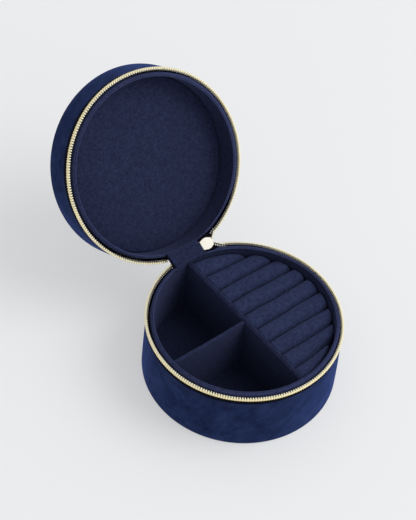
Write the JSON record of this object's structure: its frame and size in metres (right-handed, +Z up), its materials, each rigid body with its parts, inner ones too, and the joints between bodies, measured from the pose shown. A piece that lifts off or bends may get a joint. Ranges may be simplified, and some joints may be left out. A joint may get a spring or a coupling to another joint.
{
  "type": "jewellery case",
  "caption": "Round zip-around travel jewellery case in velvet, with a hinged lid standing open, padded ring rolls and two lined compartments.",
  "frame": {"origin": "middle of the base's underside", "axes": "+Z up along the case's axis, +Y towards the hinge at the back, +X to the right"},
  "size_m": [0.1108, 0.1957, 0.1266],
  "materials": {
    "navy_velvet": "short-pile velvet with a soft sheen",
    "navy_suede": "matt microfibre suede lining",
    "roll_suede": "microfibre suede over foam",
    "foam": "firm dark foam, hidden",
    "grey_card": "pressed grey card, hidden",
    "zip_tape": "black woven zip tape",
    "gold_teeth": "pale gold metal teeth",
    "gold_slider": "pale gold polished slider"
  },
  "bodies": {
    "base": {"base_bottom_board": "grey_card", "base_bottom_velvet": "navy_velvet", "base_floor_lining": "navy_suede", "base_liner_board": "grey_card", "base_wall_board": "grey_card", "base_wall_lining": "navy_suede", "base_wall_velvet": "navy_velvet", "base_zip_tape": "zip_tape", "base_zip_teeth": "gold_teeth", "cross_divider_board": "grey_card", "cross_divider_lining": "navy_suede", "main_divider_board": "grey_card", "main_divider_lining": "navy_suede", "ring_riser": "foam", "ring_roll_1": "roll_suede", "ring_roll_2": "roll_suede", "ring_roll_3": "roll_suede", "ring_roll_4": "roll_suede", "ring_roll_5": "roll_suede", "ring_roll_6": "roll_suede", "ring_roll_7": "roll_suede", "ring_roll_8": "roll_suede", "ring_roll_9": "roll_suede"},
    "lid": {"lid_liner_board": "grey_card", "lid_panel": "navy_suede", "lid_top_board": "grey_card", "lid_top_velvet": "navy_velvet", "lid_wall_board": "grey_card", "lid_wall_lining": "navy_suede", "lid_wall_velvet": "navy_velvet", "lid_zip_tape": "zip_tape", "lid_zip_teeth": "gold_teeth"},
    "hinge_strip": {"hinge_lining": "navy_suede", "hinge_velvet": "navy_velvet"},
    "slider": {"zip_slider": "gold_slider"},
    "pull": {"zip_pull": "gold_slider"}
  },
  "joints": [
    {"name": "strip_fold", "type": "hinge", "parent": "base", "child": "hinge_strip", "pos_m": [0, 0.0536, 0.0415], "axis": [-1, 0, 0], "range_deg": [-64, 0], "deforming": ["hinge_lining", "hinge_velvet"]},
    {"name": "lid_fold", "type": "hinge", "parent": "hinge_strip", "child": "lid", "pos_m": [0, 0.05484, 0.04035], "axis": [-1, 0, 0], "range_deg": [-64, 0], "deforming": ["hinge_lining", "hinge_velvet"]},
    {"name": "slider_travel", "type": "hinge", "parent": "hinge_strip", "child": "slider", "pos_m": [0, 0.03136, 0.09029], "axis": [0, 0.8988, 0.4384], "range_deg": [-320, 0]},
    {"name": "pull_swing", "type": "hinge", "parent": "slider", "child": "pull", "pos_m": [0.01395, 0.05552, 0.04075], "axis": [0, 0.8988, 0.4384], "range_deg": [-85, 30]}
  ]
}
